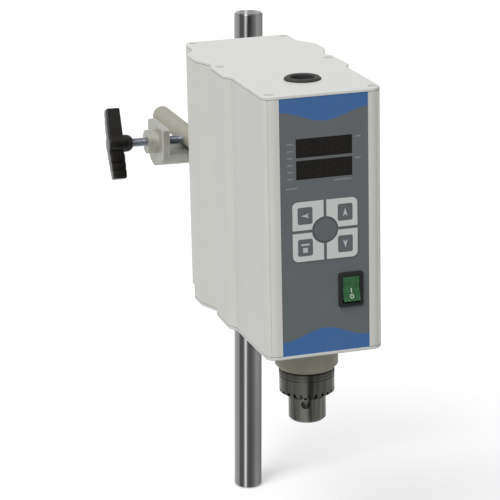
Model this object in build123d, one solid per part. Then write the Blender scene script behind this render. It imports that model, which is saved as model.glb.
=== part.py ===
from build123d import *
import os
from math import asin, cos, pi, radians, sin, sqrt, tan

# Overhead laboratory stirrer with its support arm, rod clamp and stand rod.
# Millimetres. +Z runs up the stirring shaft, +Y runs back from the control panel to the stand.
# The origin is on the shaft axis, at the underside of the bottom cover.

# Case: an extrusion closed by two flat covers
case_height = 158.0
cover_thickness = 2.0
wall = 2.4
front_reach = 38.3
rear_reach = 134.5
side_half_width = 37.0
step_start = 25.0
step_end = 31.0
first_bulge_half_width = 40.6
first_bulge_end_half_width = 40.0
first_bulge_end = 58.5
waist_half_width = 37.0
waist_reach = 66.0
second_bulge_half_width = 43.1
second_bulge_start = 82.5
second_bulge_end = 99.0
tail_half_width = 35.0
tail_start = 113.0
front_corner_radius = 7.0
rear_corner_radius = 4.5
step_radius = 3.0
waist_radius = 1.6
bulge_radius = 11.0
cover_edge_radius = 0.6

# Cover screws: countersunk, six in each cover
cover_screw_spots = ((32.0, -33.0), (35.4, 53.5), (30.6, 129.3))
cover_screw_radius = 1.5
cover_screw_head_radius = 2.9
cover_screw_length = 9.0
screw_channel_radius = 3.2

# Label panel, in a recess between the front columns
panel_width = 55.2
panel_thickness = 0.8
panel_sink = 0.3
panel_side_gap = 0.1

# Display windows; heights are from the underside of the bottom cover
window_width = 34.8
window_height = 11.3
window_gap = 0.1
upper_window_level = 129.4
lower_window_level = 116.2

# Keypad: four keys round a round one
keypad_width = 40.6
keypad_height = 36.6
keypad_level = 78.6
keypad_corner_radius = 3.4
key_cross_gap = 1.9
middle_key_radius = 7.1
middle_key_ring = 1.2
key_thickness = 1.5
key_proud = 0.5
key_gap = 0.2
key_flange = 0.4
key_flange_thickness = 0.5
key_travel = 0.4

# Power switch
bezel_width = 15.6
bezel_height = 21.4
bezel_proud = 1.6
switch_body_width = 12.8
switch_body_height = 18.8
switch_body_depth = 13.0
switch_side = 15.7
switch_level = 40.1
rocker_width = 10.4
rocker_height = 16.0
rocker_proud = 2.2
rocker_angle = 8.0
rocker_gap = 0.3
rocker_pin_radius = 1.0

# Shaft ring in the top cover
ring_radius = 11.2
ring_bore_radius = 7.4
ring_proud = 1.6
ring_neck_radius = 9.2
ring_flange = 1.4

# Bearing housing, the collar under the bottom cover
collar_radius = 19.6
collar_length = 19.2
collar_bevel = 2.6
collar_flange_radius = 25.5
collar_flange_thickness = 4.0
collar_recess_radius = 13.2
collar_screw_circle = 22.4
collar_screw_radius = 1.25
collar_screw_head_radius = 2.2
collar_screw_length = 5.6

# Bearings, both of one size
bearing_radius = 16.0
bearing_bore_radius = 7.5
bearing_width = 9.0
bearing_ring = 2.0
bearing_shield_gap = 0.08
lower_bearing_level = -12.4

# Hollow spindle
spindle_bore_radius = 5.2
spindle_nose_radius = 7.0
spindle_nose_length = 9.0
spindle_shoulder_radius = 9.0
spindle_top = 157.6
retaining_ring_radius = 9.4
retaining_ring_thickness = 1.2

# Keyed chuck, measured up from its mouth
chuck_length = 53.2
nose_radius = 11.6
nose_mouth_radius = 1.5
sleeve_radius = 17.1
sleeve_bevel_radius = 12.5
sleeve_bevel_low = 15.7
sleeve_bevel_high = 18.9
knurl_low = 29.4
sleeve_top = 33.5
knurl_groove_depth = 0.5
knurl_groove_width = 0.7
sleeve_fit = 0.08
sleeve_relief_level = 17.4
sleeve_relief_radius = 12.4
sleeve_teeth = 24
tooth_slot_width = 1.7
tooth_slot_depth = 1.5
nut_low = 19.0
nut_high = 24.0
nut_radius = 15.0
nut_split = 0.3
jaw_space_radius = 15.8
chuck_back_radius = 12.4
chuck_back_top = 37.6
chuck_groove_radius = 9.0
jaw_angle = 17.0
jaw_radius = 2.7
jaw_bore_fit = 0.1
jaw_mouth_offset = 3.4
jaw_open_radius = 5.3
jaw_closed_radius = 0.2
jaw_tip_level = 2.0
jaw_tail_level = 33.0
jaw_tail_radius = 15.4
jaw_count = 3
key_hole_radius = 2.8
key_hole_level = 12.4
key_hole_depth = 5.0
key_hole_turn = 246.3

# Belt drive: a flat belt with lengthwise ribs that run in grooves round both pulleys
spindle_pitch_radius = 19.1
motor_pitch_radius = 9.55
motor_y = 59.2
belt_width = 8.0
belt_level = 122.0
belt_back = 0.9
belt_root = 0.35
belt_ribs = 3
belt_rib_pitch = 2.6
belt_rib_root = 0.8
belt_rib_tip = 0.4
belt_rib_depth = 1.2
belt_gap = 0.35
pulley_flange_rise = 1.4
pulley_flange_thickness = 1.2
pulley_side_gap = 0.4

# Motor and the plate that carries it
motor_radius = 28.0
motor_length = 74.0
motor_bell_height = 9.0
motor_bell_radius = 27.0
motor_boss_radius = 8.0
motor_boss_height = 2.0
motor_shaft_radius = 4.0
motor_shaft_fit = 0.05
motor_screw_circle = 20.0
drive_plate_level = 104.0
drive_plate_thickness = 9.0
drive_plate_half_width = 31.5
drive_plate_front = -22.0
drive_plate_margin = 33.0
post_radius = 4.0
post_inset = 6.0
post_screw_radius = 1.5
post_screw_length = 10.0

# Control board behind the panel
board_thickness = 1.6
board_width = 52.0
board_low = 56.0
board_high = 142.0
board_standoff = 6.6
board_spacer_radius = 2.4
board_spacer_inset = 3.5
display_module_width = 33.0
display_module_height = 10.4
display_gap = 0.4
key_switch_size = 6.0
key_switch_gap = 0.1

# Power board on the rear wall
power_board_width = 56.0
power_board_low = 88.0
power_board_high = 148.0
power_board_standoff = 6.0
transformer_width = 30.0
transformer_height = 26.0
transformer_depth = 12.0
transformer_level = 130.0

# Mains inlet in the rear wall
inlet_level = 26.0
inlet_width = 27.0
inlet_height = 19.6
inlet_flange_width = 31.0
inlet_flange_height = 23.6
inlet_flange_thickness = 2.4
inlet_depth = 20.0
inlet_cavity_width = 23.6
inlet_cavity_height = 16.0
inlet_cavity_depth = 17.0
inlet_corner = 4.0
inlet_pin_spread = 7.0
inlet_pin_rise = 1.5
inlet_pin_length = 14.0
inlet_pin_width = 2.0
inlet_pin_height = 4.0

# Support arm
arm_radius = 6.75
arm_level = 69.4
arm_length = 192.0
arm_end_radius = 1.0
arm_thread_radius = 5.0
arm_flange_radius = 21.0
arm_flange_thickness = 5.0
arm_hub_radius = 11.0
arm_hub_length = 13.0
arm_screw_circle = 15.5
arm_screw_radius = 2.0
arm_screw_head_radius = 3.5
arm_screw_head_height = 3.6
arm_screw_length = 14.0
backing_plate_size = 46.0
backing_plate_thickness = 5.0
arm_nut_radius = 9.0
arm_nut_thickness = 6.0

# Clamp between arm and stand rod, in its own axes: u along the screws, v along the arm, w up the rod
clamp_reach = 247.2
clamp_tilt = 1.3
rod_spacing = 42.0
jaw_fit = 0.25
arm_jaw_half = 7.4
rod_jaw_half = 10.7
jaw_depth = 20.5
leg_thickness = 5.5
clamp_front = 17.0
clamp_rear = 22.0
clamp_top = 11.5
clamp_floor = 13.2
clamp_keel = 19.5
clamp_keel_reach = 7.0
clamp_heel = 15.0
clamp_corner_radius = 6.0
clamp_front_bevel = 3.2
clamp_edge = 0.8
clamp_small_radius = 1.2
boss_radius = 8.3
boss_length = 7.3

# Clamp screws and their two-winged knobs
screw_radius = 3.2
screw_fit = 0.06
screw_free_length = 10.2
pad_radius = 3.0
pad_thickness = 2.6
pad_gap = 0.3
knob_length = 50.0
knob_waist = 15.0
knob_end = 11.2
knob_width = 13.0
knob_edge = 1.6
knob_hub_radius = 6.6
knob_hub_length = 6.4
arm_knob_turn = -22.0
rod_knob_turn = 60.0

# Stand rod, as long as the photograph shows it
rod_radius = 10.0
rod_above = 87.8
rod_below = 265.2
rod_end_bevel = 1.0


def box_between(low, high):
    size = [b - a for a, b in zip(low, high)]
    return Pos(*low) * Box(*size, align=(Align.MIN, Align.MIN, Align.MIN))


def rod_between(radius, low, high, x=0.0, y=0.0):
    return Pos(x, y, low) * Cylinder(radius, high - low, align=(Align.CENTER, Align.CENTER, Align.MIN))


def tube_between(outer, inner, low, high, x=0.0, y=0.0):
    return rod_between(outer, low, high, x, y) - rod_between(inner, low - 1, high + 1, x, y)


def rod_along_y(radius, front, rear, x, z):
    return Pos(x, front, z) * Rot(-90, 0, 0) * rod_between(radius, 0, rear - front)


def turned(*points):
    profile = make_face(Polyline(*[(r, 0, z) for r, z in points], close=True))
    return revolve(profile, Axis.Z)


def both_sides(spots):
    return [(side * x, y) for side in (-1, 1) for x, y in spots]


def save(shape, node):
    solids = shape.solids() if hasattr(shape, "solids") else shape
    whole = solids[0] if len(solids) == 1 else Compound(children=list(solids))
    export_step(whole, os.path.join("parts", node + ".step"))
    return shape


def save_group(shapes, node):
    export_step(Compound(children=[solid for shape in shapes for solid in shape.solids()]),
                os.path.join("parts", node + ".step"))


# Places worked out from the sizes above
case_low = cover_thickness
case_high = cover_thickness + case_height
top_face = case_high + cover_thickness
panel_front = -front_reach + panel_sink
panel_back = panel_front + panel_thickness
front_wall_back = panel_back + wall
inner_rear = rear_reach - wall
chuck_mouth = -chuck_length
collar_low = -collar_length
spindle_low = chuck_mouth + chuck_back_top - spindle_nose_length
chuck_back = chuck_mouth + chuck_back_top
drive_plate_top = drive_plate_level + drive_plate_thickness
upper_bearing_level = drive_plate_top - bearing_width
power_board_face = inner_rear - power_board_standoff
belt_run = sqrt(motor_y ** 2 - (spindle_pitch_radius - motor_pitch_radius) ** 2)
belt_lean = 180 / pi * asin((spindle_pitch_radius - motor_pitch_radius) / motor_y)


# Case outline, seen from above
def case_outline(inset=0.0):
    right = (
        (side_half_width, -front_reach, front_corner_radius),
        (side_half_width, step_start, step_radius),
        (first_bulge_half_width, step_end, step_radius),
        (first_bulge_end_half_width, first_bulge_end, step_radius),
        (waist_half_width, waist_reach, waist_radius),
        (second_bulge_half_width, second_bulge_start, bulge_radius),
        (second_bulge_half_width, second_bulge_end, bulge_radius),
        (tail_half_width, tail_start, step_radius),
        (tail_half_width, rear_reach, rear_corner_radius),
    )
    left = [(-x, y, r) for x, y, r in reversed(right)]
    corners = list(right) + left
    path = FilletPolyline(*[(x, y) for x, y, r in corners], radius=[r for x, y, r in corners], close=True)
    face = make_face(path)
    return offset(face, -inset, kind=Kind.INTERSECTION) if inset else face


def cover_screw_places():
    return both_sides(cover_screw_spots)


def key_slab(width, height, corner, front, back):
    outline = RectangleRounded(width, height, corner)
    flat = Pos(0, back, keypad_level) * Rot(90, 0, 0) * outline
    return extrude(flat, back - front)


def keypad_piece(side, row, grow, front, back):
    # A quarter of the rounded keypad, less the circle round the middle key. grow widens it all round.
    slab = key_slab(keypad_width + 2 * grow, keypad_height + 2 * grow, keypad_corner_radius + grow, front, back)
    inner = key_cross_gap / 2 - grow
    far = keypad_width
    low = (min(side * inner, side * far), front, keypad_level + min(row * inner, row * far))
    high = (max(side * inner, side * far), back, keypad_level + max(row * inner, row * far))
    circle = rod_along_y(middle_key_radius + middle_key_ring - grow, front - 1, back + 1, 0, keypad_level)
    return (slab & box_between(low, high)) - circle


def middle_key_piece(grow, front, back):
    return rod_along_y(middle_key_radius + grow, front, back, 0, keypad_level)


corner_keys = {
    "left_key": (-1, 1),
    "up_key": (1, 1),
    "start_stop_key": (-1, -1),
    "down_key": (1, -1),
}


def make_case():
    shell = extrude(Pos(0, 0, case_low) * case_outline(), case_height)
    shell -= extrude(Pos(0, 0, case_low) * case_outline(wall), case_height)
    columns = box_between((-side_half_width + wall, -front_reach + wall / 2, case_low),
                          (side_half_width - wall, front_wall_back, case_high))
    shell += columns
    inside = extrude(Pos(0, 0, case_low) * case_outline(wall / 2), case_height)
    for x, y in cover_screw_places():
        shell += rod_between(screw_channel_radius, case_low, case_high, x, y) & inside
    shell -= box_between((-panel_width / 2, -front_reach - 1, case_low - 1),
                         (panel_width / 2, panel_back, case_high + 1))
    for x, y in cover_screw_places():
        shell -= rod_between(cover_screw_radius, case_low - 1, case_high + 1, x, y)
    opening = key_slab(keypad_width + 4 * key_flange, keypad_height + 4 * key_flange,
                       keypad_corner_radius, panel_back - 1, front_wall_back + 1)
    shell -= opening
    for level in (upper_window_level, lower_window_level):
        shell -= box_between((-window_width / 2 + 1, panel_back - 1, level - window_height / 2 + 1),
                             (window_width / 2 - 1, front_wall_back + 1, level + window_height / 2 - 1))
    shell -= switch_cut(panel_back - 1, front_wall_back + 1)
    shell -= box_between((-inlet_width / 2 - window_gap, inner_rear - 1, inlet_level - inlet_height / 2 - window_gap),
                         (inlet_width / 2 + window_gap, rear_reach + 1, inlet_level + inlet_height / 2 + window_gap))
    shell -= rod_along_y(arm_thread_radius, inner_rear - 1, rear_reach + 1, 0, arm_level)
    for x, z in arm_screw_places():
        shell -= rod_along_y(arm_screw_radius, inner_rear - 1, rear_reach + 1, x, z)
    return shell


def switch_cut(front, back):
    half_width = switch_body_width / 2 + window_gap
    half_height = switch_body_height / 2 + window_gap
    return box_between((switch_side - half_width, front, switch_level - half_height),
                       (switch_side + half_width, back, switch_level + half_height))


def make_cover(low, outer_face_up):
    face = Pos(0, 0, low) * case_outline()
    plate = extrude(face, cover_thickness)
    outer = plate.faces().sort_by(Axis.Z)[-1 if outer_face_up else 0]
    plate = chamfer(outer.edges(), cover_edge_radius)
    for x, y in cover_screw_places():
        plate -= cover_screw(x, y, outer_face_up)
    return plate


def countersunk_screw(x, y, level, head_up, shank, head, length):
    # Its head is flush with the level.
    screw = turned((0, 0), (head, 0), (shank, shank - head), (shank, -length), (0, -length))
    turn = Rot(0, 0, 0) if head_up else Rot(180, 0, 0)
    return Pos(x, y, level) * turn * screw


def cover_screw(x, y, on_top):
    return countersunk_screw(x, y, top_face if on_top else 0, on_top, cover_screw_radius,
                             cover_screw_head_radius, cover_screw_length)


def collar_screw(x, y):
    return countersunk_screw(x, y, 0, False, collar_screw_radius, collar_screw_head_radius, collar_screw_length)


def make_panel():
    half = panel_width / 2 - panel_side_gap
    panel = box_between((-half, panel_front, case_low), (half, panel_back, case_high))
    for level in (upper_window_level, lower_window_level):
        panel -= window_block(level, window_gap, panel_front - 1, panel_back + 1)
    for side, row in corner_keys.values():
        panel -= keypad_piece(side, row, key_gap, panel_front - 1, panel_back + 1)
    panel -= middle_key_piece(key_gap, panel_front - 1, panel_back + 1)
    panel -= switch_cut(panel_front - 1, panel_back + 1)
    return panel


def window_block(level, grow, front, back):
    half_width = window_width / 2 + grow
    half_height = window_height / 2 + grow
    return box_between((-half_width, front, level - half_height), (half_width, back, level + half_height))


def make_window(level):
    pane = window_block(level, 0, panel_front, panel_back)
    return pane


def make_key(piece):
    # The cap stands proud of the panel, and a flange behind the panel keeps it in.
    cap = piece(0, panel_front - key_proud, panel_front - key_proud + key_thickness + window_gap)
    back = panel_back + window_gap
    flange = piece(key_flange, back, back + key_flange_thickness)
    return cap + flange


def make_switch_bezel():
    outline = Pos(switch_side, panel_front, switch_level) * Rot(90, 0, 0) * RectangleRounded(
        bezel_width, bezel_height, 1.5)
    frame = extrude(outline, bezel_proud)
    frame = chamfer(frame.faces().sort_by(Axis.Y)[0].edges(), 0.5)
    frame += box_between((switch_side - switch_body_width / 2, panel_front, switch_level - switch_body_height / 2),
                         (switch_side + switch_body_width / 2, panel_front + switch_body_depth,
                          switch_level + switch_body_height / 2))
    hollow_width = rocker_width / 2 + rocker_gap
    hollow_height = rocker_height / 2 + rocker_gap
    frame -= box_between((switch_side - hollow_width, panel_front - bezel_proud - 1, switch_level - hollow_height),
                         (switch_side + hollow_width, panel_front + rocker_well(), switch_level + hollow_height))
    pin_reach = hollow_width + 1
    frame -= Pos(switch_side, rocker_axis(), switch_level) * Rot(0, 90, 0) * Cylinder(
        rocker_pin_radius + motor_shaft_fit, 2 * pin_reach)
    return frame


def rocker_well():
    return switch_body_depth - 4.0


def rocker_axis():
    return panel_front + 1.6


def make_rocker():
    # A wide V seen from the side, turned so that its lower half stands out.
    half = rocker_height / 2
    rise = half * tan(radians(rocker_angle))
    axis_drop = rocker_axis() - panel_front + rocker_proud
    reach = axis_drop + rise / 2
    points = ((-half * 0.94, -reach + rise * 0.2), (0, -axis_drop + rise), (half * 0.94, -reach + rise * 0.2),
              (half * 0.5, 1.6), (-half * 0.5, 1.6))
    side = make_face(Polyline(*[(0, y, z) for z, y in points], close=True))
    paddle = Pos(-rocker_width / 2, 0, 0) * extrude(side, rocker_width, dir=(1, 0, 0))
    pin = Rot(0, 90, 0) * Cylinder(rocker_pin_radius, rocker_width + 2 * rocker_gap + 1.6)
    return Pos(switch_side, rocker_axis(), switch_level) * Rot(-rocker_angle, 0, 0) * (paddle + pin)


def make_shaft_ring():
    low = case_high - ring_flange
    return turned((ring_bore_radius, low), (ring_radius - 0.6, low), (ring_radius - 0.6, case_high),
                  (ring_neck_radius, case_high), (ring_neck_radius, top_face), (ring_radius, top_face),
                  (ring_radius, top_face + ring_proud * 0.5), (ring_radius - 1.0, top_face + ring_proud),
                  (ring_bore_radius + 0.8, top_face + ring_proud), (ring_bore_radius, top_face + ring_proud * 0.5))


def make_collar():
    seat_top = lower_bearing_level + bearing_width
    flange_top = cover_thickness + collar_flange_thickness
    collar = turned((collar_recess_radius, collar_low), (collar_radius - collar_bevel, collar_low),
                    (collar_radius, collar_low + collar_bevel), (collar_radius, cover_thickness),
                    (collar_flange_radius, cover_thickness), (collar_flange_radius, flange_top),
                    (bearing_radius, flange_top), (bearing_radius, lower_bearing_level),
                    (collar_recess_radius, lower_bearing_level))
    for x, y in collar_screw_places():
        collar -= rod_between(collar_screw_radius, cover_thickness - 1, flange_top + 1, x, y)
    return collar


def collar_screw_places():
    reach = collar_screw_circle / sqrt(2)
    return both_sides(((reach, -reach), (reach, reach)))


def make_outer_ring(level):
    wide = bearing_radius - bearing_ring
    shield = bearing_bore_radius + bearing_ring + bearing_shield_gap
    high = level + bearing_width
    return turned((bearing_radius, level), (bearing_radius, high), (wide, high), (wide, high - 0.6),
                  (shield, high - 0.6), (shield, high - 1.4), (wide, high - 1.4), (wide, level + 1.4),
                  (shield, level + 1.4), (shield, level + 0.6), (wide, level + 0.6), (wide, level))


def make_spindle():
    shoulder_low = chuck_back
    return turned((spindle_bore_radius, spindle_low), (spindle_nose_radius, spindle_low),
                  (spindle_nose_radius, shoulder_low), (spindle_shoulder_radius, shoulder_low),
                  (spindle_shoulder_radius, lower_bearing_level), (bearing_bore_radius, lower_bearing_level),
                  (bearing_bore_radius, spindle_top), (spindle_bore_radius, spindle_top))


def rib_levels():
    # Heights of the belt's ribs about its own middle.
    return [(i - (belt_ribs - 1) / 2) * belt_rib_pitch for i in range(belt_ribs)]


def make_pulley(pitch_radius, bore, y):
    half = belt_width / 2 + pulley_side_gap
    rim = pitch_radius - belt_root - belt_gap
    flange = rim + pulley_flange_rise
    slope = (belt_rib_root - belt_rib_tip) / belt_rib_depth
    widen = belt_gap * (sqrt(1 + slope ** 2) - slope)
    points = [(bore, -half - pulley_flange_thickness), (flange, -half - pulley_flange_thickness),
              (flange, -half), (rim, -half)]
    for level in rib_levels():
        points += [(rim, level - belt_rib_root - widen), (rim - belt_rib_depth, level - belt_rib_tip - widen),
                   (rim - belt_rib_depth, level + belt_rib_tip + widen), (rim, level + belt_rib_root + widen)]
    points += [(rim, half), (flange, half), (flange, half + pulley_flange_thickness),
               (bore, half + pulley_flange_thickness)]
    return Pos(0, y, belt_level) * turned(*points)


def belt_section(pitch_radius):
    # Across the belt, with its ribs pointing in to the pulley.
    half = belt_width / 2
    root = pitch_radius - belt_root
    tip = root - belt_rib_depth
    points = [(root, half), (pitch_radius + belt_back, half), (pitch_radius + belt_back, -half), (root, -half)]
    for level in rib_levels():
        points += [(root, level - belt_rib_root), (tip, level - belt_rib_tip),
                   (tip, level + belt_rib_tip), (root, level + belt_rib_root)]
    return make_face(Polyline(*[(r, 0, z) for r, z in points], close=True))


def make_belt():
    # One bend round each pulley and two straight runs between them.
    big_bend = revolve(belt_section(spindle_pitch_radius), Axis.Z, 180 + 2 * belt_lean)
    small_bend = revolve(belt_section(motor_pitch_radius), Axis.Z, 180 - 2 * belt_lean)
    right = Rot(0, 0, belt_lean) * extrude(belt_section(spindle_pitch_radius), belt_run, dir=(0, 1, 0))
    belt = Rot(0, 0, 180 - belt_lean) * big_bend + Pos(0, motor_y, 0) * Rot(0, 0, belt_lean) * small_bend
    belt += right
    belt += mirror(right, Plane.YZ)
    return Pos(0, 0, belt_level) * belt


def make_drive_plate():
    far = motor_y + drive_plate_margin
    outline = Pos(0, (drive_plate_front + far) / 2, drive_plate_level) * RectangleRounded(
        2 * drive_plate_half_width, far - drive_plate_front, post_inset)
    plate = extrude(outline, drive_plate_thickness)
    plate -= rod_between(bearing_radius, upper_bearing_level, drive_plate_top + 1)
    plate -= rod_between(bearing_radius - bearing_ring, drive_plate_level - 1, drive_plate_top + 1)
    plate -= rod_between(motor_boss_radius, drive_plate_level - 1, drive_plate_top + 1, 0, motor_y)
    for x, y in post_places():
        plate -= rod_between(post_screw_radius, drive_plate_level - 1, drive_plate_top + 1, x, y)
    for x, y in motor_screw_places():
        plate -= rod_between(post_screw_radius, drive_plate_level - 1, drive_plate_top + 1, x, y)
    return plate


def post_places():
    across = drive_plate_half_width - post_inset
    return both_sides(((across, drive_plate_front + post_inset),
                       (across, motor_y + drive_plate_margin - post_inset)))


def motor_screw_places():
    reach = motor_screw_circle / sqrt(2)
    return [(x, motor_y + y) for x, y in both_sides(((reach, -reach), (reach, reach)))]


def cap_screw(x, y, head_low, shank_end, radius):
    # A pan head on a shank; the shank points away from the head.
    head_height = radius * 1.2
    up = 1 if shank_end > head_low else -1
    shape = turned((0, 0), (radius, 0), (radius, abs(shank_end - head_low)), (0, abs(shank_end - head_low)))
    shape += turned((0, 0), (0, -head_height), (radius * 1.5, -head_height), (radius * 1.9, 0))
    return Pos(x, y, head_low) * (Rot(0, 0, 0) if up > 0 else Rot(180, 0, 0)) * shape


def make_posts():
    return [tube_between(post_radius, post_screw_radius, case_low, drive_plate_level, x, y)
            for x, y in post_places()]


def make_motor():
    low = drive_plate_level - motor_length
    can = rod_between(motor_radius, low, drive_plate_level, 0, motor_y)
    can += rod_between(motor_boss_radius, drive_plate_level, drive_plate_level + motor_boss_height, 0, motor_y)
    can -= rod_between(motor_shaft_radius + motor_shaft_fit, low - 1, drive_plate_level + 5, 0, motor_y)
    for x, y in motor_screw_places():
        can -= rod_between(post_screw_radius, drive_plate_level - 6, drive_plate_level + 1, x, y)
    return can


def make_motor_bell():
    low = drive_plate_level - motor_length
    bell = rod_between(motor_bell_radius, low - motor_bell_height, low, 0, motor_y)
    bell -= rod_between(motor_shaft_radius + motor_shaft_fit, low - motor_bell_height + 2, low + 1, 0, motor_y)
    return chamfer(bell.faces().sort_by(Axis.Z)[0].edges(), 2.0)


def make_motor_shaft():
    low = drive_plate_level - motor_length - motor_bell_height + 3
    high = belt_level + belt_width / 2 + pulley_side_gap + pulley_flange_thickness + 2
    return rod_between(motor_shaft_radius, low, high, 0, motor_y)


def make_control_board():
    face = front_wall_back + board_standoff
    board = box_between((-board_width / 2, face, board_low), (board_width / 2, face + board_thickness, board_high))
    for x, z in board_spacer_places():
        board -= rod_along_y(cover_screw_radius, face - 1, face + board_thickness + 1, x, z)
    return board


def make_key_switch(x, z):
    front = panel_back + window_gap + key_flange_thickness + key_travel + key_switch_gap
    half = key_switch_size / 2
    return box_between((x - half, front, z - half), (x + half, front_wall_back + board_standoff, z + half))


def board_spacer_places():
    across = board_width / 2 - board_spacer_inset
    return both_sides(((across, board_low + board_spacer_inset), (across, board_high - board_spacer_inset)))


def make_board_spacers():
    face = front_wall_back + board_standoff
    return [rod_along_y(board_spacer_radius, front_wall_back, face, x, z)
            - rod_along_y(cover_screw_radius, front_wall_back - 1, face + 1, x, z)
            for x, z in board_spacer_places()]


def make_display_module(level):
    face = front_wall_back + board_standoff
    return box_between((-display_module_width / 2 + 1.2, panel_back + display_gap, level - display_module_height / 2 + 1),
                       (display_module_width / 2 - 1.2, face, level + display_module_height / 2 - 1))


def key_centres():
    across = keypad_width / 4 + key_cross_gap / 4
    up = keypad_height / 4 + key_cross_gap / 4
    centres = {name: (side * across, keypad_level + row * up) for name, (side, row) in corner_keys.items()}
    centres["mode_key"] = (0, keypad_level)
    return centres


def make_power_board():
    front = power_board_face - board_thickness
    board = box_between((-power_board_width / 2, front, power_board_low),
                        (power_board_width / 2, power_board_face, power_board_high))
    for x, z in power_spacer_places():
        board -= rod_along_y(cover_screw_radius, front - 1, power_board_face + 1, x, z)
    return board


def power_spacer_places():
    across = power_board_width / 2 - board_spacer_inset
    return both_sides(((across, power_board_low + board_spacer_inset), (across, power_board_high - board_spacer_inset)))


def make_power_spacers():
    return [rod_along_y(board_spacer_radius, power_board_face, inner_rear, x, z)
            - rod_along_y(cover_screw_radius, power_board_face - 1, inner_rear + 1, x, z)
            for x, z in power_spacer_places()]


def make_transformer():
    back = power_board_face - board_thickness
    core = box_between((-transformer_width / 2, back - transformer_depth, transformer_level - transformer_height / 2),
                       (transformer_width / 2, back, transformer_level + transformer_height / 2))
    return chamfer(core.edges().filter_by(Axis.Y), 2.0)


def inlet_outline(width, height, y):
    # A rectangle with its two upper corners cut off.
    w, h, c = width / 2, height / 2, inlet_corner
    points = ((-w, -h), (w, -h), (w, h - c), (w - c, h), (c - w, h), (-w, h - c))
    return make_face(Polyline(*[(x, y, inlet_level + z) for x, z in points], close=True))


def make_inlet():
    flange = box_between((-inlet_flange_width / 2, rear_reach, inlet_level - inlet_flange_height / 2),
                         (inlet_flange_width / 2, rear_reach + inlet_flange_thickness,
                          inlet_level + inlet_flange_height / 2))
    flange = chamfer(flange.faces().sort_by(Axis.Y)[-1].edges(), 0.8)
    front = rear_reach + inlet_flange_thickness - inlet_depth
    body = box_between((-inlet_width / 2, front, inlet_level - inlet_height / 2),
                       (inlet_width / 2, rear_reach, inlet_level + inlet_height / 2))
    mouth = rear_reach + inlet_flange_thickness
    cavity = extrude(inlet_outline(inlet_cavity_width, inlet_cavity_height, mouth - inlet_cavity_depth),
                     inlet_cavity_depth + 1, dir=(0, 1, 0))
    return flange + body - cavity


def make_inlet_pins():
    floor = rear_reach + inlet_flange_thickness - inlet_cavity_depth
    spots = ((-inlet_pin_spread, -inlet_pin_rise), (0, inlet_pin_rise), (inlet_pin_spread, -inlet_pin_rise))
    return [box_between((x - inlet_pin_width / 2, floor, inlet_level + z - inlet_pin_height / 2),
                        (x + inlet_pin_width / 2, floor + inlet_pin_length, inlet_level + z + inlet_pin_height / 2))
            for x, z in spots]


def arm_screw_places():
    reach = arm_screw_circle / sqrt(2)
    return [(x, arm_level + z) for x, z in both_sides(((reach, -reach), (reach, reach)))]


def make_arm_flange():
    outer = rear_reach + arm_flange_thickness
    flange = rod_along_y(arm_flange_radius, rear_reach, outer, 0, arm_level)
    flange = chamfer(flange.faces().sort_by(Axis.Y)[-1].edges(), 0.8)
    hub = rod_along_y(arm_hub_radius, outer, rear_reach + arm_hub_length, 0, arm_level)
    hub = chamfer(hub.faces().sort_by(Axis.Y)[-1].edges(), 1.2)
    flange += hub
    flange -= rod_along_y(arm_radius, outer, rear_reach + arm_hub_length + 1, 0, arm_level)
    flange -= rod_along_y(arm_thread_radius, rear_reach - 1, outer + 1, 0, arm_level)
    for x, z in arm_screw_places():
        flange -= rod_along_y(arm_screw_radius, rear_reach - 1, outer + 1, x, z)
    return flange


def make_arm_screw(x, z):
    outer = rear_reach + arm_flange_thickness
    head = rod_along_y(arm_screw_head_radius, outer, outer + arm_screw_head_height, x, z)
    head = chamfer(head.faces().sort_by(Axis.Y)[-1].edges(), 0.5)
    socket = Pos(x, outer + arm_screw_head_height, z) * Rot(90, 0, 0) * extrude(RegularPolygon(1.7, 6), 2.0)
    return head + rod_along_y(arm_screw_radius, outer - arm_screw_length, outer, x, z) - socket


def make_backing_plate():
    half = backing_plate_size / 2
    plate = box_between((-half, inner_rear - backing_plate_thickness, arm_level - half / 1.4),
                        (half, inner_rear, arm_level + half / 1.4))
    front = inner_rear - backing_plate_thickness
    plate -= rod_along_y(arm_thread_radius, front - 1, inner_rear + 1, 0, arm_level)
    for x, z in arm_screw_places():
        plate -= rod_along_y(arm_screw_radius, front - 1, inner_rear + 1, x, z)
    return plate


def make_arm():
    outer = rear_reach + arm_flange_thickness
    front = inner_rear - backing_plate_thickness
    end = rear_reach + arm_length
    arm = rod_along_y(arm_radius, outer, end, 0, arm_level)
    arm = fillet(arm.faces().sort_by(Axis.Y)[-1].edges(), arm_end_radius)
    return arm + rod_along_y(arm_thread_radius, front - arm_nut_thickness - 1, outer, 0, arm_level)


def make_arm_nut():
    front = inner_rear - backing_plate_thickness
    hexagon = Pos(0, front, arm_level) * Rot(90, 0, 0) * RegularPolygon(arm_nut_radius, 6)
    nut = extrude(hexagon, arm_nut_thickness)
    return nut - rod_along_y(arm_thread_radius, front - arm_nut_thickness - 1, front + 1, 0, arm_level)


# Chuck, made with its mouth at zero and lifted into place
def in_chuck(shape):
    return Pos(0, 0, chuck_mouth) * shape


def jaw_axis_place(turn):
    # The slanted line that a jaw slides on: it starts at the mouth and leans out as it rises.
    return Rot(0, 0, turn) * Pos(jaw_mouth_offset, 0, 0) * Rot(0, jaw_angle, 0)


def jaw_turns():
    return [key_hole_turn + 60 + 360.0 / jaw_count * i for i in range(jaw_count)]


def jaw_travel():
    return (jaw_open_radius - jaw_closed_radius) / sin(radians(jaw_angle))


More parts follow.
